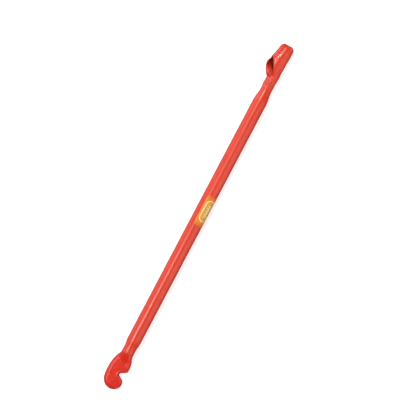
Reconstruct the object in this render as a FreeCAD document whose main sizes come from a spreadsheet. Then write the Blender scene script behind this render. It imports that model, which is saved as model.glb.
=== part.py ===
import FreeCAD, Part
import math
import os
import Sketcher
from FreeCAD import Placement, Rotation, Vector

# Hooked lever bar, millimetres.
# Frame: origin on the shaft axis at mid length, +X runs from the hook to the socket head,
# +Z is up with the bar lying on a surface, the hook notch opens towards -Y and the
# window of the socket head looks towards +Y and +Z.

doc = FreeCAD.newDocument("hooked_lever_bar")
sheet = doc.addObject("Spreadsheet::Sheet", "Sizes")
sheet.Label = "Sizes"

SIZES = [
    # shaft
    ("shaft_radius", 14.0),
    ("shaft_bore_radius", 11.0),
    ("shaft_low_end", -298.5),
    ("shaft_high_end", 288.5),
    ("swage_low_start", -270.0),
    ("swage_low_stop", -292.0),
    ("neck_low_radius", 12.3),
    ("plug_low_radius", 9.0),
    ("swage_high_start", 250.0),
    ("swage_high_stop", 283.0),
    ("neck_high_radius", 11.1),
    ("plug_high_radius", 7.8),
    # hook claw
    ("claw_thickness", 18.0),
    ("claw_middle_height", -5.0),
    ("claw_edge_round", 7.4),
    ("claw_tip", -377.2),
    ("claw_plug_end", -274.0),
    ("claw_neck_start", -301.5),
    ("claw_flat_start", -319.0),
    ("claw_flat_half_width", 17.0),
    ("claw_flat_half_height", 8.9),
    ("notch_root_radius", 4.0),
    ("notch_root_depth", 5.2),
    ("notch_position", -344.1),
    ("notch_angle_upper", 27.0),
    ("notch_angle_lower", 31.5),
    ("lip_round", 4.0),
    # socket head
    ("head_start", 291.5),
    ("head_end", 377.3),
    ("head_wall", 2.6),
    ("nose_round", 9.8),
    ("nose_bore_radius", 7.0),
    ("nose_bore_length", 14.0),
    ("cavity_end", 365.5),
    ("core_low_end", 264.0),
    ("ramp_angle", 22.0),
    ("ramp_start", 303.0),
    ("ramp_start_height", 10.6),
    ("drop_start", 322.0),
    ("drop_angle", 50.0),
    ("window_edge_round", 0.8),
    # welds
    ("weld_crown", 0.45),
    ("seam_radius", 1.3),
    ("seam_sink", 0.75),
    # label
    ("label_thickness", 0.2),
    ("print_thickness", 0.08),
    ("label_start", -17.3),
    ("label_length", 63.8),
    ("label_from_angle", -20.0),
    ("label_to_angle", 96.0),
    ("mark_angle", 38.0),
    ("mark_middle", 15.7),
    ("frame_length", 45.0),
    ("frame_width", 18.6),
    ("frame_line", 1.7),
    ("dot_pitch", 6.6),
]
for row, (name, value) in enumerate(SIZES, start=1):
    sheet.set("A%d" % row, name)
    sheet.set("B%d" % row, str(value))
    sheet.setAlias("B%d" % row, name)
doc.recompute()


def size(name):
    return float(sheet.get(name))


def plane(body, role):
    return [f for f in body.Origin.OriginFeatures if f.Role == role][0]


def new_body(name):
    body = doc.addObject("PartDesign::Body", name)
    body.Label = name
    body.Placement = Placement(Vector(0, 0, 0), Rotation())
    return body


def new_sketch(body, name, role, offset=None):
    sk = body.newObject("Sketcher::SketchObject", name)
    sk.AttachmentSupport = (plane(body, role), [""])
    sk.MapMode = "FlatFace"
    if offset is not None:
        sk.AttachmentOffset = offset
    doc.recompute()
    return sk


def bind(sketch, index, expression):
    sketch.setExpression("Constraints[%d]" % index, expression)


def corner(x_expression, y_expression, curved=False):
    """A profile corner whose two distances follow the size table. The segment that leaves a
    curved corner is an S bend that starts and ends along the axis."""
    def value(expression):
        total = 0.0
        for term in expression.replace(" - ", " + -").split(" + "):
            term = term.strip()
            sign = 1.0
            if term.startswith("-") and "Sizes" in term:
                sign, term = -1.0, term[1:]
            total += sign * (size(term[6:]) if term.startswith("Sizes.") else float(term))
        return total
    return value(x_expression), x_expression, value(y_expression), y_expression, curved


def profile(sketch, corners):
    n = len(corners)
    for i in range(n):
        p, q = corners[i], corners[(i + 1) % n]
        a, b = Vector(p[0], p[2], 0), Vector(q[0], q[2], 0)
        if p[4]:
            bend = Part.BezierCurve()
            half = (b.x - a.x) / 2
            bend.setPoles([a, a + Vector(half, 0, 0), b - Vector(half, 0, 0), b])
            sketch.addGeometry(bend.toBSpline(), False)
        else:
            sketch.addGeometry(Part.LineSegment(a, b), False)
    for i in range(n):
        sketch.addConstraint(Sketcher.Constraint("Coincident", i, 2, (i + 1) % n, 1))
    for i, (x, ex, y, ey, _) in enumerate(corners):
        k = sketch.addConstraint(Sketcher.Constraint("DistanceX", -1, 1, i, 1, x))
        bind(sketch, k, ex)
        k = sketch.addConstraint(Sketcher.Constraint("DistanceY", -1, 1, i, 1, y))
        bind(sketch, k, ey)
    doc.recompute()


def revolve(body, sketch, name="Turned"):
    rev = body.newObject("PartDesign::Revolution", name)
    rev.Profile = sketch
    rev.ReferenceAxis = (sketch, ["H_Axis"])
    rev.Angle = 360.0
    doc.recompute()
    return rev


# ---------------------------------------------------------------- shaft tube
# One length of tube. Both ends are swaged down onto the shanks they hold.
tube = new_body("shaft_tube")
sk = new_sketch(tube, "TubeSection", "XZ_Plane")
profile(sk, [
    corner("Sizes.shaft_low_end", "Sizes.plug_low_radius"),
    corner("Sizes.shaft_low_end", "Sizes.plug_low_radius + 1.7"),
    corner("Sizes.shaft_low_end + 1.6", "Sizes.neck_low_radius"),
    corner("Sizes.swage_low_stop", "Sizes.neck_low_radius", True),
    corner("Sizes.swage_low_start", "Sizes.shaft_radius"),
    corner("Sizes.swage_high_start", "Sizes.shaft_radius", True),
    corner("Sizes.swage_high_stop", "Sizes.neck_high_radius"),
    corner("Sizes.shaft_high_end - 1.6", "Sizes.neck_high_radius"),
    corner("Sizes.shaft_high_end", "Sizes.plug_high_radius + 1.7"),
    corner("Sizes.shaft_high_end", "Sizes.plug_high_radius"),
    corner("Sizes.swage_high_stop - 8.0", "Sizes.plug_high_radius", True),
    corner("Sizes.swage_high_start - 4.0", "Sizes.shaft_bore_radius"),
    corner("Sizes.swage_low_start + 4.0", "Sizes.shaft_bore_radius", True),
    corner("Sizes.swage_low_stop + 6.0", "Sizes.plug_low_radius"),
])
turned = revolve(tube, sk, "SwagedTube")

# ---------------------------------------------------------------- hook claw
# A flat forged palm with a V notch. Its round neck carries a shank that sits in the tube.
claw = new_body("hook_claw")
OUTLINE = [
    (-306.0, 12.8), (-311.5, 16.2), (-318.5, 18.9), (-326.0, 20.6), (-335.0, 21.5), (-345.0, 21.7),
    (-352.5, 21.3), (-359.0, 20.4), (-364.6, 18.5), (-369.2, 15.8), (-373.1, 12.1), (-375.9, 7.2),
    (-377.2, 2.0), (-377.3, -3.2), (-376.0, -8.0), (-373.4, -12.4), (-369.4, -15.9), (-364.4, -17.9),
    (-358.6, -18.4), (-352.0, -18.4), (-344.0, -18.4), (-333.5, -18.4), (-325.5, -18.2), (-318.0, -17.4),
    (-311.6, -15.3), (-305.9, -11.6), (-301.8, -5.6), (-300.5, 1.0), (-302.0, 7.4),
]
stretch = size("claw_tip") / -377.2
sk = new_sketch(claw, "ClawOutline", "XY_Plane",
                Placement(Vector(0, 0, size("claw_middle_height")), Rotation()))
sk.setExpression("AttachmentOffset.Base.z", "Sizes.claw_middle_height")
curve = Part.BSplineCurve()
curve.interpolate([Vector(x * stretch, y, 0) for x, y in OUTLINE], PeriodicFlag=True)
sk.addGeometry(curve, False)
doc.recompute()
palm = claw.newObject("PartDesign::Pad", "Palm")
palm.Profile = sk
palm.Length = size("claw_thickness")
palm.Midplane = True
palm.setExpression("Length", "Sizes.claw_thickness")
doc.recompute()
# The notch: a rounded root with two straight flanks that open to -Y.
up_a = math.radians(size("notch_angle_upper"))
lo_a = math.radians(size("notch_angle_lower"))
root = size("notch_root_radius")
centre = Vector(size("notch_position"), -(size("notch_root_depth") + root), 0)
up_dir = Vector(math.sin(up_a), -math.cos(up_a), 0)
lo_dir = Vector(-math.sin(lo_a), -math.cos(lo_a), 0)
up_pt = centre + Vector(math.cos(up_a), math.sin(up_a), 0) * root
lo_pt = centre + Vector(-math.cos(lo_a), math.sin(lo_a), 0) * root
up_end = up_pt + up_dir * 26.0
lo_end = lo_pt + lo_dir * 26.0
sk = new_sketch(claw, "NotchOutline", "XY_Plane",
                Placement(Vector(0, 0, size("claw_middle_height")), Rotation()))
sk.setExpression("AttachmentOffset.Base.z", "Sizes.claw_middle_height")
sk.addGeometry(Part.ArcOfCircle(Part.Circle(centre, Vector(0, 0, 1), root), up_a, math.pi - lo_a), False)
sk.addGeometry(Part.LineSegment(up_pt, up_end), False)
sk.addGeometry(Part.LineSegment(up_end, lo_end), False)
sk.addGeometry(Part.LineSegment(lo_end, lo_pt), False)
sk.addConstraint(Sketcher.Constraint("Tangent", 0, 1, 1, 1))
sk.addConstraint(Sketcher.Constraint("Coincident", 1, 2, 2, 1))
sk.addConstraint(Sketcher.Constraint("Coincident", 2, 2, 3, 1))
sk.addConstraint(Sketcher.Constraint("Tangent", 0, 2, 3, 2))
k = sk.addConstraint(Sketcher.Constraint("Radius", 0, root))
bind(sk, k, "Sizes.notch_root_radius")
k = sk.addConstraint(Sketcher.Constraint("DistanceX", -1, 1, 0, 3, centre.x))
bind(sk, k, "Sizes.notch_position")
k = sk.addConstraint(Sketcher.Constraint("DistanceY", -1, 1, 0, 3, centre.y))
bind(sk, k, "-Sizes.notch_root_depth - Sizes.notch_root_radius")
doc.recompute()
notch = claw.newObject("PartDesign::Pocket", "Notch")
notch.Profile = sk
notch.Type = "Length"
notch.Length = size("claw_thickness") + 10
notch.Midplane = True
notch.setExpression("Length", "Sizes.claw_thickness + 10")
doc.recompute()
# Lip corners, then one forged rounding along both rims.
lips = []
for i, edge in enumerate(notch.Shape.Edges, start=1):
    box = edge.BoundBox
    if box.XLength < 1e-3 and box.YLength < 1e-3 and box.ZLength > 5 and box.YMin < -15:
        lips.append("Edge%d" % i)
lip_round = claw.newObject("PartDesign::Fillet", "LipRound")
lip_round.Base = (notch, lips)
lip_round.Radius = size("lip_round")
lip_round.setExpression("Radius", "Sizes.lip_round")
doc.recompute()
rim = ["Edge%d" % i for i, e in enumerate(lip_round.Shape.Edges, start=1) if e.BoundBox.ZLength < 1e-6]
rim_round = claw.newObject("PartDesign::Fillet", "RimRound")
rim_round.Base = (lip_round, rim)
rim_round.Radius = size("claw_edge_round")
rim_round.setExpression("Radius", "Sizes.claw_edge_round")
doc.recompute()

# Neck: round at the weld, flattening into the palm.
ring = new_sketch(claw, "NeckRound", "YZ_Plane", Placement(Vector(0, 0, size("claw_neck_start")), Rotation()))
ring.setExpression("AttachmentOffset.Base.z", "Sizes.claw_neck_start")
ring.addGeometry(Part.Circle(Vector(0, 0, 0), Vector(0, 0, 1), size("neck_low_radius")), False)
ring.addConstraint(Sketcher.Constraint("Coincident", 0, 3, -1, 1))
k = ring.addConstraint(Sketcher.Constraint("Radius", 0, size("neck_low_radius")))
bind(ring, k, "Sizes.neck_low_radius")
oval = new_sketch(claw, "NeckFlat", "YZ_Plane", Placement(Vector(0, 0, size("claw_flat_start")), Rotation()))
oval.setExpression("AttachmentOffset.Base.z", "Sizes.claw_flat_start")
oval.addGeometry(Part.Ellipse(Vector(0.9, size("claw_middle_height"), 0),
                              size("claw_flat_half_width"), size("claw_flat_half_height")), False)
doc.recompute()
neck = claw.newObject("PartDesign::AdditiveLoft", "Neck")
neck.Profile = ring
neck.Sections = [oval]
neck.Ruled = False
neck.Closed = False
doc.recompute()

# Shank inside the tube.
sk = new_sketch(claw, "ShankSection", "XZ_Plane")
profile(sk, [
    corner("Sizes.claw_neck_start - 3.0", "0.0"),
    corner("Sizes.claw_neck_start - 3.0", "Sizes.plug_low_radius"),
    corner("Sizes.claw_plug_end - 1.5", "Sizes.plug_low_radius"),
    corner("Sizes.claw_plug_end", "Sizes.plug_low_radius - 1.5"),
    corner("Sizes.claw_plug_end", "0.0"),
])
shank = revolve(claw, sk, "Shank")

# ---------------------------------------------------------------- welds
# Both ring welds fill the groove between the bevelled tube end and the shoulder of the piece it holds.
hook_weld = new_body("hook_weld_bead")
sk = new_sketch(hook_weld, "HookWeldSection", "XZ_Plane")
profile(sk, [
    corner("Sizes.shaft_low_end", "Sizes.plug_low_radius"),
    corner("Sizes.claw_neck_start", "Sizes.plug_low_radius"),
    corner("Sizes.claw_neck_start", "Sizes.neck_low_radius"),
    corner("Sizes.claw_neck_start + 1.4", "Sizes.neck_low_radius + Sizes.weld_crown"),
    corner("Sizes.shaft_low_end - 0.2", "Sizes.neck_low_radius + Sizes.weld_crown"),
    corner("Sizes.shaft_low_end + 1.6", "Sizes.neck_low_radius"),
    corner("Sizes.shaft_low_end", "Sizes.plug_low_radius + 1.7"),
])
revolve(hook_weld, sk, "HookWeldRing")

socket_weld = new_body("socket_weld_bead")
sk = new_sketch(socket_weld, "SocketWeldSection", "XZ_Plane")
profile(sk, [
    corner("Sizes.shaft_high_end", "Sizes.plug_high_radius"),
    corner("Sizes.shaft_high_end", "Sizes.plug_high_radius + 1.7"),
    corner("Sizes.shaft_high_end - 1.6", "Sizes.neck_high_radius"),
    corner("Sizes.shaft_high_end + 0.2", "Sizes.neck_high_radius + Sizes.weld_crown"),
    corner("Sizes.head_start - 1.4", "Sizes.neck_high_radius + Sizes.weld_crown"),
    corner("Sizes.head_start", "Sizes.neck_high_radius"),
    corner("Sizes.head_start", "Sizes.plug_high_radius"),
])
revolve(socket_weld, sk, "SocketWeldRing")

# ---------------------------------------------------------------- socket head
# Oval sections along the head: x, centre y, centre z, half width (y), half height (z).
OUTER = [
    (291.5, 0.1, 0.0, 11.10, 11.10), (295.5, 0.0, 0.0, 11.25, 11.1), (300.5, 0.1, 0.0, 11.60, 11.20), (307.5, 1.3, -0.1, 13.30, 11.70),
    (315.5, 4.0, -0.2, 15.90, 12.60), (323.5, 6.1, -0.3, 17.50, 13.30), (331.0, 6.5, -0.3, 18.40, 13.60),
    (338.5, 5.5, -0.3, 17.60, 13.60), (347.0, 4.0, -0.2, 16.50, 13.50), (357.0, 2.6, -0.1, 15.40, 13.40),
    (367.0, 1.6, 0.0, 14.30, 13.30), (377.3, 1.2, 0.0, 12.90, 12.70),
]
OUTER[0] = (size("head_start"), 0.0, 0.0, size("neck_high_radius"), size("neck_high_radius"))
OUTER[-1] = (size("head_end"),) + OUTER[-1][1:]
TURN = Rotation(Vector(1, 1, 1), 120)      # local x, y, z to global y, z, x


def section_at(x, table):
    for p, q in zip(table, table[1:]):
        if p[0] <= x <= q[0]:
            f = (x - p[0]) / (q[0] - p[0])
            return tuple(p[i] + (q[i] - p[i]) * f for i in range(1, 5))
    return table[-1][1:] if x > table[-1][0] else table[0][1:]


def ovals(prefix, table, wall=False):
    made = []
    for i, (x, cy, cz, a, b) in enumerate(table):
        e = doc.addObject("Part::Ellipse", "%s_%02d" % (prefix, i))
        if wall:
            e.setExpression("MajorRadius", "%r - Sizes.head_wall" % a)
            e.setExpression("MinorRadius", "%r - Sizes.head_wall" % b)
            a, b = a - size("head_wall"), b - size("head_wall")
        e.MajorRadius = a
        e.MinorRadius = b
        e.Placement = Placement(Vector(x, cy, cz), TURN)
        made.append(e)
    return made


def loft(name, sections):
    made = doc.addObject("Part::Loft", name)
    made.Sections = sections
    made.Solid = True
    made.Ruled = False
    made.Closed = False
    doc.recompute()
    return made


def cylinder(name, radius, length, x, y=0.0, z=0.0, roll=0.0):
    c = doc.addObject("Part::Cylinder", name)
    c.setExpression("Radius", radius)
    c.setExpression("Height", length)
    c.Placement = Placement(Vector(x, y, z), TURN.multiply(Rotation(Vector(0, 0, 1), roll)))
    doc.recompute()
    return c


def boolean(kind, name, base, tool):
    made = doc.addObject("Part::" + kind, name)
    made.Base = base
    made.Tool = tool
    doc.recompute()
    return made


outer = loft("HeadOuter", ovals("HeadOval", OUTER))
nose_edges = []
for i, edge in enumerate(outer.Shape.Edges, start=1):
    if edge.BoundBox.XLength < 1e-5 and abs(edge.BoundBox.XMax - size("head_end")) < 1e-4:
        nose_edges.append((i, size("nose_round"), size("nose_round")))
nose = doc.addObject("Part::Fillet", "HeadNose")
nose.Base = outer
nose.Edges = nose_edges
doc.recompute()

# Cavity: the same ovals less the wall, starting as the bore that takes the core.
plug = size("plug_high_radius")
INNER = [(x, 0.0, 0.0, plug, plug) for x in (size("head_start"), 294.0, 296.5, 299.0, 301.5)]
for x in (308.5, 315.5, 323.5, 331.0, 338.5, 347.0, 357.0):
    cy, cz, a, b = section_at(x, OUTER)
    w = size("head_wall")
    INNER.append((x, cy, cz, a - w, b - w))
INNER[5] = (308.5, 1.2, -0.1, 9.9, 8.8)
INNER.append((size("cavity_end"), 1.6, 0.0, 9.2, 8.9))
cavity = loft("HeadCavity", ovals("CavityOval", INNER))
bore = cylinder("NoseBore", "Sizes.nose_bore_radius", "Sizes.nose_bore_length + 6",
                size("head_end") - size("nose_bore_length"), 1.2, 0.0, 37.0)

# Ramp plane: starts on top of the neck and falls towards the nose.
ramp = math.radians(size("ramp_angle"))
origin = Vector(size("ramp_start"), 0, size("ramp_start_height"))
along = Vector(math.cos(ramp), 0, -math.sin(ramp))
across = Vector(0, 1, 0)
normal = along.cross(across)


def on_ramp(x, y):
    """Window outline point given on top of the head, carried down to the ramp along its normal."""
    cy, cz, a, b = section_at(x, OUTER)
    t = max(0.0, 1 - ((y - cy) / a) ** 2)
    point = Vector(x, y, cz + b * math.sqrt(t))
    d = point - origin
    return Vector(d.dot(along), d.dot(across), 0)


WINDOW = [
    (344.2, 19.3), (338.0, 14.6), (331.2, 10.8), (323.9, 6.9), (317.2, 3.6), (312.9, 1.5), (309.0, -0.6),
    (304.6, -1.8), (299.5, -2.0),
]
window_plane = Placement(origin, Rotation(along, across, normal, "ZXY"))
sk = doc.addObject("Sketcher::SketchObject", "WindowOutline")
sk.Placement = window_plane
edge_points = [on_ramp(x, y) for x, y in WINDOW]
first, last = edge_points[0], edge_points[-1]
far_a = Vector(first.x + 6.0, 34.0, 0)
far_b = Vector(last.x - 6.0, 34.0, 0)
rim_curve = Part.BSplineCurve()
rim_curve.interpolate(edge_points)
sk.addGeometry(rim_curve, False)
sk.addGeometry(Part.LineSegment(last, far_b), False)
sk.addGeometry(Part.LineSegment(far_b, far_a), False)
sk.addGeometry(Part.LineSegment(far_a, first), False)
for i in range(4):
    sk.addConstraint(Sketcher.Constraint("Coincident", i, 2, (i + 1) % 4, 1))
doc.recompute()
window = doc.addObject("Part::Extrusion", "WindowCut")
window.Base = sk
window.DirMode = "Normal"
window.LengthFwd = 34.0
window.Solid = True
doc.recompute()

# Seam: the closed joint of the rolled head, from the window's top corner to the nose.
seam_sink = size("seam_sink")


def seam_point(x, y):
    cy, cz, a, b = section_at(x, OUTER)
    t = math.asin((y - cy) / a)
    on = Vector(x, cy + a * math.sin(t), cz + b * math.cos(t))
    out = Vector(0, math.sin(t) / a, math.cos(t) / b)
    out.normalize()
    return on - out * seam_sink


seam_a, seam_b = seam_point(341.8, 16.3), seam_point(366.5, 8.9)
seam_dir = seam_b - seam_a
seam = doc.addObject("Part::Cylinder", "SeamRod")
seam.setExpression("Radius", "Sizes.seam_radius")
seam.Height = seam_dir.Length
seam.Placement = Placement(seam_a, Rotation(Vector(0, 0, 1), seam_dir))
doc.recompute()

sleeve = boolean("Cut", "SleeveBoreCut", nose, bore)
sleeve = boolean("Cut", "SleeveCavityCut", sleeve, cavity)
sleeve = boolean("Cut", "SleeveWindowCut", sleeve, window)
sleeve = boolean("Cut", "socket_sleeve", sleeve, seam)
sleeve.Label = "socket_sleeve"

# The seam bead keeps clear of the window and of the cavity.
bead = boolean("Cut", "SeamWindowCut", seam, window)
bead = boolean("Cut", "socket_seam_weld", bead, cavity)
bead.Label = "socket_seam_weld"

# Core: fills the cavity under the ramp and runs down into the tube.
shank2 = cylinder("CoreShank", "Sizes.plug_high_radius", "Sizes.head_start - Sizes.core_low_end",
                  size("core_low_end"))
above = doc.addObject("Part::Box", "AboveRamp")
above.Length, above.Width, above.Height = 90.0, 80.0, 60.0
above.Placement = Placement(origin - along * 20 - across * 40, window_plane.Rotation)
doc.recompute()
# Past the drop the ramp falls away steeply, which leaves the nose hollow.
drop = math.radians(size("drop_angle"))
brow = origin + along * ((size("drop_start") - size("ramp_start")) / math.cos(ramp))
steep = Vector(math.cos(drop), 0, -math.sin(drop))
below = doc.addObject("Part::Box", "AboveDrop")
below.Length, below.Width, below.Height = 90.0, 80.0, 60.0
below.Placement = Placement(brow - steep * 30 - across * 40, Rotation(steep, across, steep.cross(across), "ZXY"))
doc.recompute()
fill = boolean("Cut", "CoreRampCut", cavity, above)
fill = boolean("Cut", "CoreFill", fill, below)
core = boolean("Fuse", "neck_core", shank2, fill)
core.Label = "neck_core"

# ---------------------------------------------------------------- label
# The sticker is a sector of a thin sleeve on the shaft. Angles run from +Z towards -Y.
def around(radius, angle):
    a = math.radians(angle)
    return Vector(-radius * math.sin(a), radius * math.cos(a), 0)


label = new_body("label_film")
start = size("label_start")
sk = new_sketch(label, "LabelSection", "YZ_Plane", Placement(Vector(0, 0, start), Rotation()))
sk.setExpression("AttachmentOffset.Base.z", "Sizes.label_start")
r0 = size("shaft_radius")
r1 = r0 + size("label_thickness")
a0, a1 = size("label_from_angle"), size("label_to_angle")
# sketch angles are counted from +Y, so the sector runs from 90 + a0 to 90 + a1
s0, s1 = math.radians(90 + a0), math.radians(90 + a1)
zero, up = Vector(0, 0, 0), Vector(0, 0, 1)
sk.addGeometry(Part.ArcOfCircle(Part.Circle(zero, up, r0), s0, s1), False)
sk.addGeometry(Part.LineSegment(around(r0, a1), around(r1, a1)), False)
sk.addGeometry(Part.ArcOfCircle(Part.Circle(zero, up, r1), s0, s1), False)
sk.addGeometry(Part.LineSegment(around(r1, a0), around(r0, a0)), False)
sk.addConstraint(Sketcher.Constraint("Coincident", 0, 2, 1, 1))
sk.addConstraint(Sketcher.Constraint("Coincident", 1, 2, 2, 2))
sk.addConstraint(Sketcher.Constraint("Coincident", 2, 1, 3, 1))
sk.addConstraint(Sketcher.Constraint("Coincident", 3, 2, 0, 1))
sk.addConstraint(Sketcher.Constraint("Coincident", 0, 3, -1, 1))
sk.addConstraint(Sketcher.Constraint("Coincident", 2, 3, -1, 1))
k = sk.addConstraint(Sketcher.Constraint("Radius", 0, r0))
bind(sk, k, "Sizes.shaft_radius")
k = sk.addConstraint(Sketcher.Constraint("Radius", 2, r1))
bind(sk, k, "Sizes.shaft_radius + Sizes.label_thickness")
doc.recompute()
film = label.newObject("PartDesign::Pad", "LabelPad")
film.Profile = sk
film.Length = size("label_length")
film.setExpression("Length", "Sizes.label_length")
doc.recompute()

# Prints: outlines pressed through thin shells that sit on the film.
film_top = "Sizes.shaft_radius + Sizes.label_thickness"
length = "Sizes.label_length"


def shell(name, low, high):
    big = cylinder(name + "_outside", high, length, start)
    small = cylinder(name + "_inside", low, length, start)
    return boolean("Cut", name, big, small)


print_shell = shell("PrintShell", film_top, film_top + " + Sizes.print_thickness")
mark_shell = shell("MarkShell", film_top + " + Sizes.print_thickness",
                   film_top + " + 2 * Sizes.print_thickness")

tilt = math.radians(size("mark_angle"))
out_dir = Vector(0, -math.sin(tilt), math.cos(tilt))
side_dir = Vector(0, math.cos(tilt), math.sin(tilt))
mark_plane = Placement(Vector(size("mark_middle"), 0, 0), Rotation(Vector(1, 0, 0), side_dir, out_dir, "ZXY"))


def press(name, edges):
    sk = doc.addObject("Sketcher::SketchObject", name + "Outline")
    sk.Placement = mark_plane
    for e in edges:
        sk.addGeometry(e, False)
    doc.recompute()
    made = doc.addObject("Part::Extrusion", name + "Press")
    made.Base = sk
    made.DirMode = "Normal"
    made.LengthFwd = 20.0
    made.Solid = True
    doc.recompute()
    return made


def oblong(length, width, corner_radius):
    """Rounded rectangle as four lines and four arcs."""
    r = corner_radius
    lx, ly = length / 2, width / 2
    made = []
    for (px, py), (qx, qy) in (((-lx + r, -ly), (lx - r, -ly)), ((lx, -ly + r), (lx, ly - r)),
                               ((lx - r, ly), (-lx + r, ly)), ((-lx, ly - r), (-lx, -ly + r))):
        made.append(Part.LineSegment(Vector(px, py, 0), Vector(qx, qy, 0)))
    for cx, cy, a in ((lx - r, -ly + r, -90), (lx - r, ly - r, 0), (-lx + r, ly - r, 90), (-lx + r, -ly + r, 180)):
        made.append(Part.ArcOfCircle(Part.Circle(Vector(cx, cy, 0), up, r), math.radians(a), math.radians(a + 90)))
    return made


fl, fw, line = size("frame_length"), size("frame_width"), size("frame_line")
outside = press("FrameOutside", oblong(fl, fw, 8.4))
inside = press("FrameInside", oblong(fl - 2 * line, fw - 2 * line, 8.4 - line))
frame_ring = boolean("Cut", "FrameRing", outside, inside)
frame_print = boolean("Common", "label_frame_print", print_shell, frame_ring)
frame_print.Label = "label_frame_print"
panel_print = boolean("Common", "label_panel_print", print_shell, inside)
panel_print.Label = "label_panel_print"

# Mark: one zigzag stroke along the shaft.
pitch, swing, stroke = size("dot_pitch"), 2.4, 1.5
peaks = []
for i in range(9):
    peaks.append(Vector((i - 4) * pitch / 2, swing if i % 2 == 0 else -swing, 0))
slope = math.atan2(2 * swing, pitch / 2)
lift = stroke / 2 / math.cos(slope)
upper = [p + Vector(0, lift, 0) for p in peaks]
lower = [p - Vector(0, lift, 0) for p in peaks]
loop = upper + lower[::-1]
zigzag = press("Zigzag", [Part.LineSegment(loop[i], loop[(i + 1) % len(loop)]) for i in range(len(loop))])
marks = boolean("Common", "label_marks_print", mark_shell, zigzag)
marks.Label = "label_marks_print"

# ---------------------------------------------------------------- checks and files
NODES = [tube, claw, hook_weld, sleeve, core, socket_weld, bead, label, panel_print, frame_print, marks]
doc.recompute()
for item in doc.Objects:
    if "Invalid" in item.State or "Error" in item.State:
        raise RuntimeError("bad feature " + item.Name)
os.makedirs("parts", exist_ok=True)
for item in NODES:
    shape = item.Shape
    if shape.isNull() or not shape.isValid():
        raise RuntimeError("bad shape " + item.Label)
    if len(shape.Solids) != 1:
        raise RuntimeError("%s has %d solids" % (item.Label, len(shape.Solids)))
    shape.exportStep("parts/%s.step" % item.Label)
    box = shape.optimalBoundingBox(False, False)
    print("%-20s %9.1f mm3  x %.2f..%.2f  y %.2f..%.2f  z %.2f..%.2f" % (
        item.Label, shape.Volume, box.XMin, box.XMax, box.YMin, box.YMax, box.ZMin, box.ZMax))
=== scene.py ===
import math

import bmesh
import bpy
import numpy as np
from mathutils import Matrix, Vector, noise


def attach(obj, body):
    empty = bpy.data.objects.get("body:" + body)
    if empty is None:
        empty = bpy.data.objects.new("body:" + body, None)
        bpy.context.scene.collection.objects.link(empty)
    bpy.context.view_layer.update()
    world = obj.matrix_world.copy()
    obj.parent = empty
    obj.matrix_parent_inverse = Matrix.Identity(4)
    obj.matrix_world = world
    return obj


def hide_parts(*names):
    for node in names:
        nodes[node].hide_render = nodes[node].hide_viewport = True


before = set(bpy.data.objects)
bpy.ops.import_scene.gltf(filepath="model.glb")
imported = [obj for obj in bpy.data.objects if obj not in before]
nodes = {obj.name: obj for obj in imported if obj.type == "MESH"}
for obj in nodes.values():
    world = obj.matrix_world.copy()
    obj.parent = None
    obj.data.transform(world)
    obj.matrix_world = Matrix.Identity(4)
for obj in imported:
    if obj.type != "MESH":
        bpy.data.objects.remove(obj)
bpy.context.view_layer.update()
MM = 0.001


# ------------------------------------------------------------------ camera
# Straight down on the bar, turned so that it leans to the upper right, long lens.
LEAN = math.radians(27.78)
PITCH = 1.95                      # millimetres of object for one picture element of a 400 wide frame
camera_data = bpy.data.cameras.new("camera")
camera = bpy.data.objects.new("camera", camera_data)
bpy.context.scene.collection.objects.link(camera)
distance = 6.0
camera_data.sensor_fit = "HORIZONTAL"
camera_data.sensor_width = 36.0
camera_data.lens = 36.0 * distance / (400 * PITCH * MM)
camera_data.clip_start = 0.1
camera_data.clip_end = 60.0
right = Vector((math.sin(LEAN), -math.cos(LEAN), 0.0))
up = Vector((math.cos(LEAN), math.sin(LEAN), 0.0))
back = Vector((0.0, 0.0, 1.0))
turn = Matrix((right, up, back)).transposed().to_4x4()
aim = Vector((0.0292, 0.0134, distance)) - right * (0.20 * PITCH * MM) + up * (0.40 * PITCH * MM)
camera.matrix_world = Matrix.Translation(aim) @ turn
bpy.context.scene.camera = camera


# ------------------------------------------------------------------ helpers
def link(mesh, name):
    ob = bpy.data.objects.new(name, mesh)
    bpy.context.scene.collection.objects.link(ob)
    return ob


def mesh_from(name, verts, faces, smooth=True):
    me = bpy.data.meshes.new(name)
    me.from_pydata([tuple(v) for v in verts], [], faces)
    me.update()
    bm = bmesh.new()
    bm.from_mesh(me)
    bmesh.ops.recalc_face_normals(bm, faces=bm.faces)
    bm.to_mesh(me)
    bm.free()
    if smooth:
        me.polygons.foreach_set("use_smooth", [True] * len(me.polygons))
    return me


def coords(me):
    co = np.empty(len(me.vertices) * 3, np.float32)
    me.vertices.foreach_get("co", co)
    return co.reshape(-1, 3).astype(float)


def set_coords(me, co):
    me.vertices.foreach_set("co", co.astype(np.float32).ravel())
    me.update()


def normals(me):
    no = np.empty(len(me.vertices) * 3, np.float32)
    me.vertices.foreach_get("normal", no)
    return no.reshape(-1, 3).astype(float)


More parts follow.
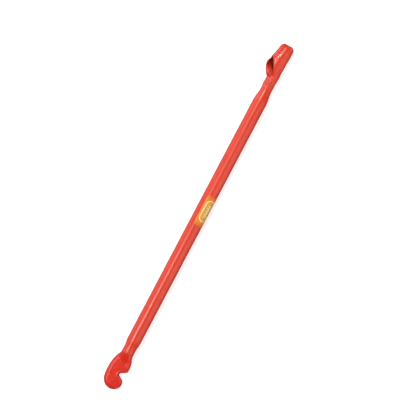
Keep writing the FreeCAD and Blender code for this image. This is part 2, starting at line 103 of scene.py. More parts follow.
def remeshed(names, label, voxel, clip=None):
    """Voxel skin of one or more CAD nodes, in millimetres."""
    bm = bmesh.new()
    for n in names:
        bm.from_mesh(nodes[n].data)
    bmesh.ops.remove_doubles(bm, verts=bm.verts[:], dist=1e-6)
    if clip is not None:
        geom = bm.verts[:] + bm.edges[:] + bm.faces[:]
        cut = bmesh.ops.bisect_plane(bm, geom=geom, plane_co=clip[0], plane_no=clip[1], clear_outer=True)
        edges = [e for e in cut["geom_cut"] if isinstance(e, bmesh.types.BMEdge)]
        bmesh.ops.holes_fill(bm, edges=edges, sides=0)
    me = bpy.data.meshes.new(label + "_raw")
    bm.to_mesh(me)
    bm.free()
    ob = link(me, label + "_raw")
    mod = ob.modifiers.new("skin", "REMESH")
    mod.mode = "VOXEL"
    mod.voxel_size = voxel * MM
    mod.adaptivity = 0.0
    deps = bpy.context.evaluated_depsgraph_get()
    out = bpy.data.meshes.new_from_object(ob.evaluated_get(deps))
    out.name = label
    bpy.data.objects.remove(ob)
    bpy.data.meshes.remove(me)
    return out


def adjacency(me):
    ed = np.empty(len(me.edges) * 2, np.int32)
    me.edges.foreach_get("vertices", ed)
    return ed.reshape(-1, 2)


def relax(co, ed, rounds, amount=0.5, back_amount=-0.52, weight=None):
    """Taubin smoothing, so that the shape keeps its size."""
    n = len(co)
    deg = np.bincount(ed.ravel(), minlength=n).astype(float)[:, None]
    for _ in range(rounds):
        for k in (amount, back_amount):
            acc = np.zeros_like(co)
            np.add.at(acc, ed[:, 0], co[ed[:, 1]])
            np.add.at(acc, ed[:, 1], co[ed[:, 0]])
            step = (acc / deg - co) * k
            if weight is not None:
                step *= weight[:, None]
            co = co + step
    return co


def soften(co, ed, rounds, weight=None):
    n = len(co)
    deg = np.bincount(ed.ravel(), minlength=n).astype(float)[:, None]
    for _ in range(rounds):
        acc = np.zeros_like(co)
        np.add.at(acc, ed[:, 0], co[ed[:, 1]])
        np.add.at(acc, ed[:, 1], co[ed[:, 0]])
        step = (acc / deg - co) * 0.5
        if weight is not None:
            step *= weight[:, None]
        co = co + step
    return co


def wobble(points, scale, seed):
    """Smooth noise between -1 and 1 at each point; scale in millimetres per feature."""
    shift = Vector((seed * 13.7, seed * 5.3, seed * 9.1))
    out = np.empty(len(points))
    for i, p in enumerate(points):
        out[i] = noise.noise(Vector((p[0], p[1], p[2])) / scale + shift)
    return out


def ramp01(x, a, b):
    t = np.clip((x - a) / (b - a), 0.0, 1.0)
    return t * t * (3 - 2 * t)


def piece(me, name, material, replaces=()):
    ob = link(me, name)
    me.materials.clear()
    me.materials.append(material)
    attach(ob, "root")
    if replaces:
        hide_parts(*replaces)
    return ob


# ------------------------------------------------------------------ materials
def new_material(name):
    m = bpy.data.materials.new(name)
    m.use_nodes = True
    nt = m.node_tree
    for n in list(nt.nodes):
        nt.nodes.remove(n)
    out = nt.nodes.new("ShaderNodeOutputMaterial")
    sh = nt.nodes.new("ShaderNodeBsdfPrincipled")
    nt.links.new(sh.outputs["BSDF"], out.inputs["Surface"])
    return m, nt, sh


def noise_node(nt, vector, scale, detail=3.0, rough=0.5):
    n = nt.nodes.new("ShaderNodeTexNoise")
    n.inputs["Scale"].default_value = scale
    n.inputs["Detail"].default_value = detail
    n.inputs["Roughness"].default_value = rough
    nt.links.new(vector, n.inputs["Vector"])
    return n


def ramp_node(nt, value, stops):
    r = nt.nodes.new("ShaderNodeValToRGB")
    while len(r.color_ramp.elements) < len(stops):
        r.color_ramp.elements.new(0.5)
    for e, (pos, col) in zip(r.color_ramp.elements, stops):
        e.position = pos
        e.color = (*col, 1.0) if len(col) == 3 else col
    nt.links.new(value, r.inputs["Fac"])
    return r


def mix_colour(nt, fac, a, b, blend="MIX"):
    m = nt.nodes.new("ShaderNodeMix")
    m.data_type = "RGBA"
    m.blend_type = blend
    if isinstance(fac, float):
        m.inputs["Factor"].default_value = fac
    else:
        nt.links.new(fac, m.inputs["Factor"])
    for key, v in (("A", a), ("B", b)):
        socket = [s for s in m.inputs if s.name == key and s.type == "RGBA"][0]
        if isinstance(v, tuple):
            socket.default_value = (*v, 1.0)
        else:
            nt.links.new(v, socket)
    return [s for s in m.outputs if s.type == "RGBA"][0]


def maths(nt, op, a, b=None, c=None):
    m = nt.nodes.new("ShaderNodeMath")
    m.operation = op
    for i, v in enumerate((a, b, c)):
        if v is None:
            continue
        if isinstance(v, (int, float)):
            m.inputs[i].default_value = v
        else:
            nt.links.new(v, m.inputs[i])
    return m.outputs[0]


def enamel(name, grain=0.0, inside_shade=False, sides=False, forged=0.0, lean=1.0, gloss=1.0):
    """Red enamel sprayed on steel. grain: lines left by drawing the tube. forged: hammered scale under the paint.
    lean: below 1 is a purer red, above 1 is more orange."""
    m, nt, sh = new_material(name)
    tc = nt.nodes.new("ShaderNodeTexCoord")
    pos = tc.outputs["Object"]
    big = noise_node(nt, pos, 22.0, 3.0, 0.55)
    mid = noise_node(nt, pos, 140.0, 4.0, 0.6)
    fine = noise_node(nt, pos, 900.0, 2.0, 0.5)
    tone = ramp_node(nt, big.outputs["Fac"], [(0.30, (0.72, 0.035 * lean, 0.0095)), (0.52, (0.79, 0.043 * lean, 0.0115)),
                                              (0.75, (0.83, 0.055 * lean, 0.0145))])
    blotch = ramp_node(nt, mid.outputs["Fac"], [(0.35, (0.73, 0.037 * lean, 0.0100)), (0.65, (0.84, 0.053 * lean, 0.0145))])
    colour = mix_colour(nt, 0.42, tone.outputs["Color"], blotch.outputs["Color"])
    # painted shade and painted highlight: by the surface's curvature the colour darkens in hollows and lightens on
    # sharp edges
    geo = nt.nodes.new("ShaderNodeNewGeometry")
    edge = ramp_node(nt, geo.outputs["Pointiness"], [(0.44, (0, 0, 0)), (0.50, (0.5, 0.5, 0.5)), (0.58, (1, 1, 1))])
    colour = mix_colour(nt, maths(nt, "MULTIPLY", maths(nt, "SUBTRACT", 0.5, edge.outputs["Color"]), 0.9),
                        colour, (0.40, 0.014, 0.008))
    # painted highlight: convex edges lighter and more orange
    high = maths(nt, "MULTIPLY", maths(nt, "SUBTRACT", edge.outputs["Color"], 0.5), 0.7)
    colour = mix_colour(nt, high, colour, (0.84, 0.085, 0.04))
    rough = maths(nt, "MULTIPLY_ADD", mid.outputs["Fac"], 0.14, 0.27)
    if inside_shade:
        # painted shade: inside the head's cavity and its nose bore the colour darkens towards deep red-brown, and the
        # paint is rougher there
        at = nt.nodes.new("ShaderNodeAttribute")
        at.attribute_name = "inside_shade"
        shade_mask = at.outputs["Fac"]
        colour = mix_colour(nt, shade_mask, colour, (0.20, 0.012, 0.007))
        rough = maths(nt, "MULTIPLY_ADD", shade_mask, 0.35, rough)
    if sides:
        # painted shade: the claw's steep and downward-facing flanks are darkened in the colour, by the side mask from
        # build_claw
        at = nt.nodes.new("ShaderNodeAttribute")
        at.attribute_name = "side"
        colour = mix_colour(nt, maths(nt, "MULTIPLY", at.outputs["Fac"], 0.85), colour, (0.24, 0.016, 0.008))
    nt.links.new(colour, sh.inputs["Base Color"])
    nt.links.new(rough, sh.inputs["Roughness"])
    sh.inputs["Metallic"].default_value = 0.0
    sh.inputs["IOR"].default_value = 1.5
    sh.inputs["Specular IOR Level"].default_value = 0.5 * gloss
    sh.inputs["Coat Weight"].default_value = 0.25 * gloss
    sh.inputs["Coat Roughness"].default_value = 0.22
    height = maths(nt, "MULTIPLY", fine.outputs["Fac"], 0.00004)
    height = maths(nt, "MULTIPLY_ADD", mid.outputs["Fac"], 0.00016 + 0.0003 * forged, height)
    if grain:
        mapping = nt.nodes.new("ShaderNodeMapping")
        mapping.inputs["Scale"].default_value = (0.02, 1.0, 1.0)
        nt.links.new(pos, mapping.inputs["Vector"])
        lines = noise_node(nt, mapping.outputs["Vector"], 900.0, 3.0, 0.6)
        height = maths(nt, "MULTIPLY_ADD", lines.outputs["Fac"], 0.00006 * grain, height)
    bump = nt.nodes.new("ShaderNodeBump")
    bump.inputs["Strength"].default_value = 0.55
    bump.inputs["Distance"].default_value = 1.0
    nt.links.new(height, bump.inputs["Height"])
    nt.links.new(bump.outputs["Normal"], sh.inputs["Normal"])
    return m


def printed(name, low, high, rough=0.38, ends=None):
    """Screen print on vinyl: slight mottling, and a satin top."""
    m, nt, sh = new_material(name)
    tc = nt.nodes.new("ShaderNodeTexCoord")
    pos = tc.outputs["Object"]
    patch = noise_node(nt, pos, 260.0, 3.0, 0.6)
    speck = noise_node(nt, pos, 2600.0, 2.0, 0.6)
    colour = ramp_node(nt, patch.outputs["Fac"], [(0.3, low), (0.7, high)]).outputs["Color"]
    colour = mix_colour(nt, maths(nt, "MULTIPLY", speck.outputs["Fac"], 0.12), colour,
                        tuple(c * 0.75 for c in low))
    if ends is not None:
        # the print darkens towards both ends of the label
        sep = nt.nodes.new("ShaderNodeSeparateXYZ")
        nt.links.new(pos, sep.inputs[0])
        away = maths(nt, "ABSOLUTE", maths(nt, "SUBTRACT", sep.outputs["X"], ends[0]))
        fac = ramp_node(nt, maths(nt, "DIVIDE", away, ends[1]), [(0.72, (0, 0, 0)), (1.0, (1, 1, 1))])
        colour = mix_colour(nt, maths(nt, "MULTIPLY", fac.outputs["Color"], 0.75), colour, ends[2])
    nt.links.new(colour, sh.inputs["Base Color"])
    nt.links.new(maths(nt, "MULTIPLY_ADD", patch.outputs["Fac"], 0.15, rough), sh.inputs["Roughness"])
    bump = nt.nodes.new("ShaderNodeBump")
    bump.inputs["Strength"].default_value = 0.3
    bump.inputs["Distance"].default_value = 1.0
    nt.links.new(maths(nt, "MULTIPLY", speck.outputs["Fac"], 0.00002), bump.inputs["Height"])
    nt.links.new(bump.outputs["Normal"], sh.inputs["Normal"])
    return m


RED_TUBE = enamel("red_enamel_tube", grain=1.0)
RED_CLAW = enamel("red_enamel_claw", forged=1.0, lean=0.64, sides=True, gloss=0.66)
RED_HEAD = enamel("red_enamel_head", forged=0.8, inside_shade=True)
RED_WELD = enamel("red_enamel_weld", forged=0.5)
RED_LOW_WELD = enamel("red_enamel_low_weld", forged=0.5, lean=0.8, gloss=0.8)
ORANGE = printed("label_orange", (0.86, 0.235, 0.008), (0.92, 0.285, 0.012), 0.42,
                 ends=(14.6 * MM, 31.9 * MM, (0.76, 0.085, 0.012)))
MUSTARD = printed("label_mustard", (0.76, 0.34, 0.022), (0.83, 0.40, 0.034))
CREAM = printed("label_cream", (0.95, 0.80, 0.44), (0.98, 0.87, 0.55))


def neck_fill(x, y):
    """The neck is a little fuller on the window's side: how far to push out, in millimetres."""
    return 1.0 * np.exp(-((x - 293.0) / 8.5) ** 2) * ramp01(y, 3.0, 9.5)


# ------------------------------------------------------------------ shaft
# Round the bar: phi is measured from straight up (+Z) towards the label side (-Y).
def s_bend(x, x0, r0, x1, r1):
    t = np.linspace(0, 1, 120)
    xs = 1.5 * t * (1 - t) ** 2 + 1.5 * t ** 2 * (1 - t) + t ** 3
    ys = 3 * t ** 2 - 2 * t ** 3
    return r0 + (r1 - r0) * np.interp((x - x0) / (x1 - x0), xs, ys)


def shaft_radius(x):
    r = np.where(x < -270.0, s_bend(x, -292.0, 12.3, -270.0, 14.0), 14.0)
    return np.where(x > 250.0, s_bend(x, 250.0, 14.0, 283.0, 11.1), r)


# The neck was flattened when the head was pressed: a facet that widens towards the window.
FACET_PHI = math.radians(-50.0)
FACET_N = np.array([math.sin(math.radians(50.0)), math.cos(math.radians(50.0))])      # y, z
FACET_X = [250.0, 258.0, 265.0, 275.0, 284.0, 292.0, 299.0, 305.0]
FACET_HALF = [0.0, 12.0, 18.0, 19.0, 23.0, 40.0, 51.0, 57.0]


def facet_depth(x):
    """Distance of the facet from the axis, in millimetres."""
    half = np.radians(np.interp(x, FACET_X, FACET_HALF))
    r = np.where(x > 291.5, np.interp(x, [291.5, 300.5, 305.0], [11.1, 11.4, 11.9]), shaft_radius(x))
    d = r * np.cos(half)
    d = np.where(x < 258.0, d + (258.0 - x) * 0.06, d)
    return np.where(x > 305.0, d + ((x - 305.0) ** 1.35) * 0.75, d)


def smooth_less(a, b, k):
    """Smooth minimum: rounds the edge between two surfaces over about k millimetres."""
    h = np.clip(0.5 + 0.5 * (b - a) / k, 0, 1)
    return b * (1 - h) + a * h - k * h * (1 - h)


def build_shaft():
    xs = np.concatenate([
        [-298.5, -298.3, -297.8], np.arange(-297.0, -262.0, 1.0), np.arange(-262.0, 240.0, 2.4),
        np.arange(240.0, 288.0, 0.7), [288.1, 288.4, 288.5]])
    xs = np.unique(np.round(xs, 3))
    around = 144
    phi = np.linspace(0, 2 * math.pi, around, endpoint=False)
    verts, faces = [], []
    for x in xs:
        r = np.full(around, float(shaft_radius(np.array(x))))
        d = (phi - FACET_PHI + math.pi) % (2 * math.pi) - math.pi
        if 246.0 < x:
            flat = np.where(np.abs(d) < 1.35, float(facet_depth(np.array(x))) / np.cos(np.clip(d, -1.35, 1.35)), 99.0)
            r = smooth_less(r, flat, 0.22)
        # a drawn tube is never quite round or quite straight
        on_label = float(ramp01(np.array(x), -26, -19) * (1 - ramp01(np.array(x), 48, 55)))
        pts = np.stack([np.full(around, x * 0.35), np.cos(phi) * 14, np.sin(phi) * 14], 1)
        w = wobble(pts, 11.0, 3) * 0.07 + wobble(np.stack([np.full(around, x * 1.0), np.cos(phi) * 14,
                                                          np.sin(phi) * 14], 1), 5.0, 4) * 0.03
        r = r + w * (1 - on_label) - 0.012 * on_label
        if x < -298.0:
            r = r - (-298.0 - x) * 0.9
        if x > 288.0:
            r = r - (x - 288.0) * 0.8
        for p, rr in zip(phi, r):
            y = -rr * math.sin(p)
            verts.append((x * MM, (y + float(neck_fill(x, np.array(y)))) * MM, rr * math.cos(p) * MM))
    n = len(xs)
    for i in range(n - 1):
        for j in range(around):
            k = (j + 1) % around
            faces.append((i * around + j, i * around + k, (i + 1) * around + k, (i + 1) * around + j))
    # closed ends, each a ring and a centre
    for ring, x, flip in ((0, xs[0], True), (n - 1, xs[-1], False)):
        c = len(verts)
        verts.append((x * MM, 0, 0))
        for j in range(around):
            k = (j + 1) % around
            a, b = ring * around + j, ring * around + k
            faces.append((b, a, c) if flip else (a, b, c))
    return mesh_from("shaft", verts, faces)


shaft = piece(build_shaft(), "shaft", RED_TUBE, ["shaft_tube"])


# ------------------------------------------------------------------ claw
NOTCH = np.array([-344.1, -9.2])


def soften_weight(w, ed, rounds):
    """Spread a per-vertex weight over its neighbours."""
    three = np.repeat(w[:, None], 3, axis=1)
    return np.clip(soften(three, ed, rounds, weight=np.ones(len(w)))[:, 0], 0, 1)



def build_claw():
    me = remeshed(["hook_claw"], "claw", 0.5, clip=(Vector((-297.6 * MM, 0, 0)), Vector((1, 0, 0))))
    co = coords(me) / MM
    ed = adjacency(me)
    keep = (co[:, 0] < -299.5).astype(float)
    co = relax(co, ed, 6, weight=keep)
    # the two tips of the jaws are worn round
    for tip, reach in (((-335.6, -18.0), 4.2), ((-353.8, -18.0), 4.6)):
        far = np.hypot(co[:, 0] - tip[0], co[:, 1] - tip[1])
        co = soften(co, ed, 70, weight=np.exp(-(far / reach) ** 2))
    set_coords(me, co * MM)
    no = normals(me)
    slope = np.exp(-((co[:, 0] + 310.5) / 7.5) ** 2) * ramp01(co[:, 2], -3.0, 2.0)
    co[:, 2] = soften(co, ed, 220, weight=slope)[:, 2]
    set_coords(me, co * MM)
    no = normals(me)
    shoulder = ramp01(co[:, 1], -6.0, 2.0) * ramp01(co[:, 2], 2.0, 6.0) * (1 - ramp01(no[:, 2], 0.965, 0.995)) \
        * ramp01(no[:, 2], 0.02, 0.25) * (1 - ramp01(co[:, 0], -309.0, -301.0))
    co = soften(co, ed, 90, weight=soften_weight(shoulder, ed, 4))
    set_coords(me, co * MM)
    no = normals(me)
    up_face = np.clip(no[:, 2], 0, 1) ** 1.5
    top = ramp01(co[:, 2], -2.0, 3.0)
    d = np.hypot(co[:, 0] - NOTCH[0], co[:, 1] - NOTCH[1])
    ang = np.degrees(np.arctan2(co[:, 1] - NOTCH[1], co[:, 0] - NOTCH[0]))      # 90 is +Y
    # metal pushed up round the notch where it was punched, on the side away from its mouth
    side = ramp01(ang, -8, 35) * (1 - ramp01(ang, 135, 172))
    rim = np.exp(-((d - 7.6) / 1.7) ** 2) * 1.35 * side
    mouth = np.exp(-((d - 8.8) / 2.2) ** 2) * 0.35 * (1 - side)
    # thumb-sized hollow near the neck, left by the hammer
    dish = np.exp(-(((co[:, 0] + 319.2) / 5.2) ** 2 + ((co[:, 1] + 7.0) / 4.2) ** 2)) * 0.75
    dish2 = np.exp(-(((co[:, 0] + 331.0) / 6.0) ** 2 + ((co[:, 1] - 9.0) / 6.0) ** 2)) * 0.25
    co[:, 2] += (rim + mouth - dish - dish2) * top * up_face
    body = 1 - ramp01(co[:, 0], -309.0, -301.5)
    bumps = wobble(co, 10.0, 11) * 0.34 + wobble(co, 4.2, 12) * 0.11 + wobble(co, 1.6, 13) * 0.03
    rest = ramp01(co[:, 2], -13.9, -12.6)                # the back stays flat where it lies on the floor
    co += no * (bumps * (0.15 + 0.85 * body) * (0.08 + 0.92 * rest))[:, None]
    co[:, 2] = np.maximum(co[:, 2], -14.0)
    set_coords(me, co * MM)
    no = normals(me)
    # painted shade mask: steep and downward-facing faces away from the neck, stored as the side attribute that darkens
    # the claw's colour
    side = (1 - ramp01(no[:, 2], 0.10, 0.88)) * (1 - ramp01(co[:, 0], -309.0, -300.0)) * ramp01(no[:, 2], -0.6, -0.2)
    at = me.attributes.new("side", "FLOAT", "POINT")
    at.data.foreach_set("value", side.astype(np.float32))
    me.polygons.foreach_set("use_smooth", [True] * len(me.polygons))
    return me


claw = piece(build_claw(), "claw", RED_CLAW, ["hook_claw"])


# ------------------------------------------------------------------ head
OVALS = np.array([
    (291.5, 0, 0, 11.1, 11.1), (295.5, 0, 0, 11.25, 11.1), (300.5, 0.1, 0, 11.6, 11.2), (307.5, 1.3, -0.1, 13.3, 11.7),
    (315.5, 4.0, -0.2, 15.9, 12.6), (323.5, 6.1, -0.3, 17.5, 13.3), (331, 6.5, -0.3, 18.4, 13.6),
    (338.5, 5.5, -0.3, 17.6, 13.6), (347, 4.0, -0.2, 16.5, 13.5), (357, 2.6, -0.1, 15.4, 13.4),
    (367, 1.6, 0, 14.3, 13.3), (377.3, 1.2, 0, 12.9, 12.7)])


def oval(x):
    return [np.interp(x, OVALS[:, 0], OVALS[:, k]) for k in range(1, 5)]


def below_skin(co):
    """How far each point is under the head's outer skin, in millimetres, roughly."""
    cy, cz, a, b = oval(co[:, 0])
    k = np.sqrt(((co[:, 1] - cy) / a) ** 2 + ((co[:, 2] - cz) / b) ** 2)
    return (1 - k) * np.minimum(a, b)


def facet_cutter():
    t = np.array([FACET_N[1], -FACET_N[0]])
    xs = np.arange(286.0, 322.1, 0.75)
    verts, faces = [], []
    for x in xs:
        d = float(facet_depth(np.array(x)))
        for nn, tt in ((d, -34), (d, 34), (d + 40, 34), (d + 40, -34)):
            q = FACET_N * nn + t * tt
            verts.append((x * MM, q[0] * MM, q[1] * MM))
    m = len(xs)
    for i in range(m - 1):
        for j in range(4):
            k = (j + 1) % 4
            faces.append((i * 4 + j, i * 4 + k, (i + 1) * 4 + k, (i + 1) * 4 + j))
    faces.append((3, 2, 1, 0))
    faces.append(tuple((m - 1) * 4 + j for j in range(4)))
    return mesh_from("cutter", verts, faces, smooth=False)


def skin(me, label, voxel):
    ob = link(me, label + "_raw")
    mod = ob.modifiers.new("skin", "REMESH")
    mod.mode = "VOXEL"
    mod.voxel_size = voxel * MM
    mod.adaptivity = 0.0
    deps = bpy.context.evaluated_depsgraph_get()
    out = bpy.data.meshes.new_from_object(ob.evaluated_get(deps))
    out.name = label
    bpy.data.objects.remove(ob)
    bpy.data.meshes.remove(me)
    return out


def build_head():
    start = 288.9
    me = remeshed(["socket_sleeve", "neck_core"], "head_first", 0.5,
                  clip=(Vector((start * MM, 0, 0)), Vector((-1, 0, 0))))
    ob = link(me, "head_first")
    cutter = link(facet_cutter(), "cutter")
    mod = ob.modifiers.new("facet", "BOOLEAN")
    mod.operation = "DIFFERENCE"
    mod.solver = "EXACT"
    mod.object = cutter
    deps = bpy.context.evaluated_depsgraph_get()
    cut = bpy.data.meshes.new_from_object(ob.evaluated_get(deps))
    for o in (ob, cutter):
        data = o.data
        bpy.data.objects.remove(o)
        bpy.data.meshes.remove(data)
    me = skin(cut, "head", 0.45)
    co = coords(me) / MM
    ed = adjacency(me)
    co = relax(co, ed, 8)
    under = below_skin(co)
    # the ramp: hammered concave, so its sides climb the walls
    a = math.radians(22.0)
    normal = np.array([math.sin(a), 0.0, math.cos(a)])
    height = (co - np.array([303.0, 0.0, 10.6])) @ normal
    on_ramp = np.exp(-(height / 0.8) ** 2) * ramp01(co[:, 0], 304.0, 309.0) * ramp01(under, 0.6, 2.2)
    on_ramp *= 1 - ramp01(co[:, 0], 317.0, 322.0)
    cy, cz, ha, hb = oval(co[:, 0])
    lean = np.clip((co[:, 1] - cy) / np.maximum(ha - 4.0, 1.0), -1.4, 1.4)
    lift = 0.25 + 1.3 * np.abs(lean) ** 2.2
    co += normal * (on_ramp * lift)[:, None]
    brow = np.exp(-((co[:, 0] - 322.5) / 3.5) ** 2) * np.exp(-(np.minimum(height, 0) / 5.0) ** 2) * ramp01(under, 2.0, 3.5)
    co = soften(co, ed, 14, weight=np.clip(on_ramp * 0.5 + brow + 0.15 * ramp01(under, 1.0, 2.5), 0, 1))
    # the seam of the rolled head, closed by hand: a groove with the bead lying in it
    pa, pb = np.array([341.8, 16.3]), np.array([366.5, 8.9])
    along = (pb - pa) / np.linalg.norm(pb - pa)
    rel = co[:, :2] - pa
    u = rel @ along
    v = rel @ np.array([-along[1], along[0]])
    top = ramp01(co[:, 2], 3.0, 6.0) * (1 - ramp01(under, 1.0, 2.2))
    run = ramp01(u, -3.0, 1.5) * (1 - ramp01(u, 26.0, 34.0))
    groove = np.exp(-(v / 2.1) ** 2) * 0.45 * run * top
    banks = (np.exp(-((v - 3.6) / 1.5) ** 2) + np.exp(-((v + 3.6) / 1.5) ** 2)) * 0.16 * run * top
    set_coords(me, co * MM)
    no = normals(me)
    co += no * (banks - groove)[:, None]
    set_coords(me, co * MM)
    no = normals(me)
    near_neck = 1 - ramp01(co[:, 0], 291.0, 297.0)
    bumps = wobble(co, 12.0, 21) * 0.30 + wobble(co, 4.5, 22) * 0.10 + wobble(co, 1.7, 23) * 0.035
    co += no * (bumps * (1 - 0.9 * near_neck))[:, None]
    co[:, 1] += neck_fill(co[:, 0], co[:, 1])
    set_coords(me, co * MM)
    under = below_skin(co)
    # painted shade mask, stored as a point attribute: the cavity behind the window and the nose bore, which the head's
    # material darkens
    inside_shade = ramp01(under, 0.9, 2.3) * ramp01(co[:, 0] - 1.1 * (co[:, 1] - 8.0), 317.0, 325.0)
    nose = ramp01(co[:, 0], 362.0, 366.0)
    bore_shade = 1 - ramp01(np.hypot(co[:, 1] - 1.2, co[:, 2]), 6.7, 7.5)
    inside_shade = inside_shade * (1 - nose) + bore_shade * nose
    at = me.attributes.new("inside_shade", "FLOAT", "POINT")
    at.data.foreach_set("value", inside_shade.astype(np.float32))
    me.polygons.foreach_set("use_smooth", [True] * len(me.polygons))
    return me


head = piece(build_head(), "head", RED_HEAD, ["socket_sleeve", "neck_core"])


# ------------------------------------------------------------------ welds
def ring_bead(name, x0, width, base, crown, seed, facet=False, ripples=26):
    """A hand-laid weld round the bar: overlapping scales, uneven in width and height."""
    around, across = 192, 13
    verts, faces = [], []
    phi = np.linspace(0, 2 * math.pi, around, endpoint=False)
    wide = 1 + 0.16 * wobble(np.stack([np.cos(phi) * 9, np.sin(phi) * 9, np.zeros(around)], 1), 5.0, seed)
    tall = 1 + 0.22 * wobble(np.stack([np.cos(phi) * 9, np.sin(phi) * 9, np.zeros(around)], 1), 3.0, seed + 1)
    drift = 0.35 * wobble(np.stack([np.cos(phi) * 9, np.sin(phi) * 9, np.zeros(around)], 1), 7.0, seed + 2)
    scale = np.abs(np.sin(phi * ripples / 2 + 0.5 * drift)) ** 0.7
    for i in range(around):
        for j in range(across):
            t = j / (across - 1) * 2 - 1
            x = x0 + drift[i] + t * width / 2 * wide[i] + 0.25 * scale[i] * (1 - t * t)
            h = (1 - t * t) ** 0.9 * crown * tall[i] * (0.62 + 0.38 * scale[i])
            r = base - 0.25 * abs(t) ** 3 + h
            r_in = base - 1.2
            if j in (0, across - 1):
                r = base - 0.7
            if facet:
                d = (phi[i] - FACET_PHI + math.pi) % (2 * math.pi) - math.pi
                if abs(d) < 1.35:
                    flat = (float(facet_depth(np.array(x))) + h * 0.6) / math.cos(d)
                    r = float(smooth_less(np.array(r), np.array(flat), 0.4))
            y = -r * math.sin(phi[i])
            verts.append((x * MM, (y + float(neck_fill(x, np.array(y)))) * MM, r * math.cos(phi[i]) * MM))
        for t in (1, -1):
            x = x0 + drift[i] + t * width / 2 * wide[i] * 0.8
            r = base - 1.6
            if facet:
                r = min(r, base - 5.5)
            verts.append((x * MM, -r * math.sin(phi[i]) * MM, r * math.cos(phi[i]) * MM))
    m = across + 2
    for i in range(around):
        k = (i + 1) % around
        for j in range(m):
            l = (j + 1) % m
            faces.append((i * m + j, i * m + l, k * m + l, k * m + j))
    return mesh_from(name, verts, faces)


low_weld = piece(ring_bead("hook_weld", -299.4, 5.8, 12.30, 0.28, 31), "hook_weld", RED_LOW_WELD, ["hook_weld_bead"])
high_weld = piece(ring_bead("socket_weld", 289.2, 5.2, 11.15, 0.26, 41, facet=True, ripples=22), "socket_weld",
                  RED_WELD, ["socket_weld_bead"])


def seam_bead():
    """Short fillet run along the rolled seam, on top of the head."""
    pa, pb = np.array([341.8, 16.3]), np.array([366.5, 8.9])
    length = np.linalg.norm(pb - pa)
    steps, around = 110, 20
    verts, faces = [], []
    for i in range(steps):
        f = i / (steps - 1)
        p = pa + (pb - pa) * f
        s = f * length
        cy, cz, a, b = (float(q) for q in oval(np.array(p[0])))
        t = math.asin(max(-1.0, min(1.0, (p[1] - cy) / a)))
        on = np.array([p[0], cy + a * math.sin(t), cz + b * math.cos(t)])
        out = np.array([0.0, math.sin(t) / a, math.cos(t) / b])
        out /= np.linalg.norm(out)
        d3 = np.array([(pb - pa)[0], (pb - pa)[1], 0.0]) / length
        side = np.cross(out, d3)
        side /= np.linalg.norm(side)
        ends = math.sqrt(max(0.0, 1 - (2 * f - 1) ** 10))
        ripple = abs(math.sin(s / 1.9 * math.pi)) ** 0.7
        wav = noise.noise(Vector((s / 4.0, 2.0, 7.0)))
        w = (1.18 + 0.15 * wav + 0.10 * ripple) * (0.35 + 0.65 * ends)
        h = (1.0 + 0.16 * ripple) * (0.2 + 0.8 * ends)
        centre = on - out * (0.95 + 0.1 * wav) + side * 0.25 * wav
        for j in range(around):
            q = 2 * math.pi * j / around
            verts.append(tuple((centre + side * math.cos(q) * w + out * math.sin(q) * h) * MM))
    for i in range(steps - 1):
        for j in range(around):
            k = (j + 1) % around
            faces.append((i * around + j, i * around + k, (i + 1) * around + k, (i + 1) * around + j))
    faces.append(tuple(reversed(range(around))))
    faces.append(tuple((steps - 1) * around + j for j in range(around)))
    return mesh_from("seam_weld", verts, faces)


seam_weld = piece(seam_bead(), "seam_weld", RED_WELD, ["socket_seam_weld"])


# ------------------------------------------------------------------ label
def label_mesh():
    """Vinyl sticker wrapped on the tube, with round corners, one of them starting to lift."""
    x0, x1, p0, p1 = -17.3, 46.5, math.radians(-20.0), math.radians(96.0)
    r_in, r_out = 13.995, 14.195
    half_x, half_p = (x1 - x0) / 2, (p1 - p0) * 14.1 / 2
    cx, cp = (x0 + x1) / 2, (p0 + p1) / 2
    corner = 2.6
    nu, nv = 84, 48
    verts, faces = [], []

    def spot(i, j):
        u = (i / nu) * 2 - 1
        v = (j / nv) * 2 - 1
        x, q = u * half_x, v * half_p
        # pull the corners in onto a round of that radius
        ax, aq = abs(x) - (half_x - corner), abs(q) - (half_p - corner)
        if ax > 0 and aq > 0:
            m = max(ax, aq)
            l = math.hypot(ax, aq)
            ax, aq = ax * m / l, aq * m / l
            x = math.copysign(half_x - corner + ax, x)
            q = math.copysign(half_p - corner + aq, q)
        return x, q

    for layer, r in ((0, r_out), (1, r_in)):
        for i in range(nu + 1):
            for j in range(nv + 1):
                x, q = spot(i, j)
                far = math.hypot(x + half_x, q + half_p)              # the hook-end, top-side corner
                lift = 0.32 * max(0.0, 1 - far / 7.0) ** 2
                edge = min(half_x - abs(x), half_p - abs(q))
                rr = r + lift
                if layer == 0 and edge < 0.15:
                    rr -= 0.05
                phi = cp + q / 14.1
                verts.append(((cx + x) * MM, -rr * math.sin(phi) * MM, rr * math.cos(phi) * MM))
    row = nv + 1
    size = (nu + 1) * row
    for i in range(nu):
        for j in range(nv):
            a, b, c, d = i * row + j, i * row + j + 1, (i + 1) * row + j + 1, (i + 1) * row + j
            faces.append((a, b, c, d))
            faces.append((size + d, size + c, size + b, size + a))
    rim = [i * row for i in range(nu + 1)] + [nu * row + j for j in range(1, nv + 1)] \
        + [i * row + nv for i in range(nu - 1, -1, -1)] + [j for j in range(nv - 1, 0, -1)]
    for a, b in zip(rim, rim[1:] + rim[:1]):
        faces.append((a, b, size + b, size + a))
    return mesh_from("label", verts, faces)


label = piece(label_mesh(), "label", ORANGE, ["label_film"])

for name, material in (("label_panel_print", MUSTARD), ("label_frame_print", CREAM), ("label_marks_print", CREAM)):
    data = nodes[name].data
    data.materials.clear()
    data.materials.append(material)


# ------------------------------------------------------------------ floor and light
def floor_mesh():
    n, half = 24, 6.0
    verts = [(-half + 2 * half * i / n, -half + 2 * half * j / n, 0.0) for i in range(n + 1) for j in range(n + 1)]
    faces = [(i * (n + 1) + j, (i + 1) * (n + 1) + j, (i + 1) * (n + 1) + j + 1, i * (n + 1) + j + 1)
             for i in range(n) for j in range(n)]
    return mesh_from("floor", verts, faces, smooth=False)


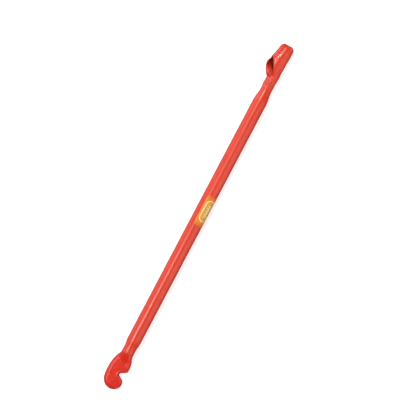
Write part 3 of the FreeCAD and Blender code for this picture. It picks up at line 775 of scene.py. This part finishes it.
floor = link(floor_mesh(), "floor")
floor.location = (0.0, 0.0, -14.0 * MM - 0.0003)
paper, nt, sh = new_material("paper")
grain = noise_node(nt, nt.nodes.new("ShaderNodeTexCoord").outputs["Object"], 60.0, 3.0, 0.6)
nt.links.new(ramp_node(nt, grain.outputs["Fac"], [(0.3, (0.60, 0.60, 0.60)), (0.7, (0.62, 0.62, 0.62))]).outputs["Color"],
             sh.inputs["Base Color"])
sh.inputs["Roughness"].default_value = 0.95
sh.inputs["Specular IOR Level"].default_value = 0.1
sh.inputs["Emission Color"].default_value = (1.0, 1.0, 1.0, 1.0)
sh.inputs["Emission Strength"].default_value = 0.70
floor.data.materials.append(paper)
floor.visible_diffuse = False
floor.visible_glossy = False


def softbox(name, at, look, size_x, size_y, power, colour=(1, 1, 1), roll=0.0):
    data = bpy.data.lights.new(name, "AREA")
    data.shape = "RECTANGLE"
    data.size, data.size_y = size_x, size_y
    data.energy = power
    data.color = colour
    ob = bpy.data.objects.new(name, data)
    bpy.context.scene.collection.objects.link(ob)
    at, look = Vector(at), Vector(look)
    z = (at - look).normalized()
    x = Vector((math.cos(roll), math.sin(roll), 0.0))
    x = (x - z * x.dot(z)).normalized()
    y = z.cross(x)
    ob.matrix_world = Matrix.Translation(at) @ Matrix((x, y, z)).transposed().to_4x4()
    return ob


# (name, x and length of a narrow box along the bar, its angle from straight up, power)
for name, x, long, ang, power in (("strip_low", -0.46, 0.66, 25.5, 6.0), ("strip_high", 0.62, 0.24, 20.0, 6.2)):
    a = math.radians(ang)
    softbox(name, (x, 1.2 * math.sin(a), 1.2 * math.cos(a)), (x * 0.92, 0, 0), long, 0.09, power)

# (name, height and compass angle in degrees, 0 is +X and 90 is +Y, width, power): square boxes 2.6 m away
for name, el, az, wide, power in (
        ("key", 60, 90, 1.1, 7.6), ("key_top", 75, 90, 0.7, 2.4), ("fill_right", 40, 225, 1.1, 1.6),
        ("fill_right_2", 40, 270, 1.1, 5.7), ("fill_right_3", 60, 270, 1.1, 5.0), ("rim_right_low", 5, 225, 1.1, 19.5),
        ("rim_right_mid", 5, 270, 1.1, 3.8), ("rim_right_mid_2", 22, 270, 1.1, 3.4), ("rim_right_high", 5, 315, 1.1, 18.0),
        ("rim_end", 5, 180, 1.1, 2.0), ("glint_left", 8, 72, 0.4, 8.0), ("fill_end", 25, 0, 1.1, 6.0)):
    e, a = math.radians(el), math.radians(az)
    softbox(name, (2.6 * math.cos(e) * math.cos(a), 2.6 * math.cos(e) * math.sin(a), 2.6 * math.sin(e)), (0, 0, 0),
            wide, wide, power)

# a white wall on the label's far side, and a dim sweep below the bar's own height
world = bpy.data.worlds.new("studio")
bpy.context.scene.world = world
world.use_nodes = True
wt = world.node_tree
for n in list(wt.nodes):
    wt.nodes.remove(n)
wout = wt.nodes.new("ShaderNodeOutputWorld")
wbg = wt.nodes.new("ShaderNodeBackground")
wt.links.new(wbg.outputs[0], wout.inputs["Surface"])
wco = wt.nodes.new("ShaderNodeTexCoord")
wsep = wt.nodes.new("ShaderNodeSeparateXYZ")
wt.links.new(wco.outputs["Generated"], wsep.inputs[0])
height = ramp_node(wt, maths(wt, "MULTIPLY_ADD", wsep.outputs["Z"], 0.5, 0.5),
                   [(0.0, (0.14, 0.14, 0.14)), (0.47, (0.14, 0.14, 0.14)), (0.53, (0.0, 0.0, 0.0))])
wall = ramp_node(wt, maths(wt, "MULTIPLY_ADD", wsep.outputs["Y"], 0.5, 0.5),
                 [(0.80, (0.0, 0.0, 0.0)), (0.95, (0.88, 0.88, 0.88))])
wt.links.new(mix_colour(wt, 1.0, height.outputs["Color"], wall.outputs["Color"], "LIGHTEN"), wbg.inputs["Color"])
wbg.inputs["Strength"].default_value = 1.0

bpy.context.scene.view_settings.view_transform = "Standard"
bpy.context.scene.view_settings.look = "None"
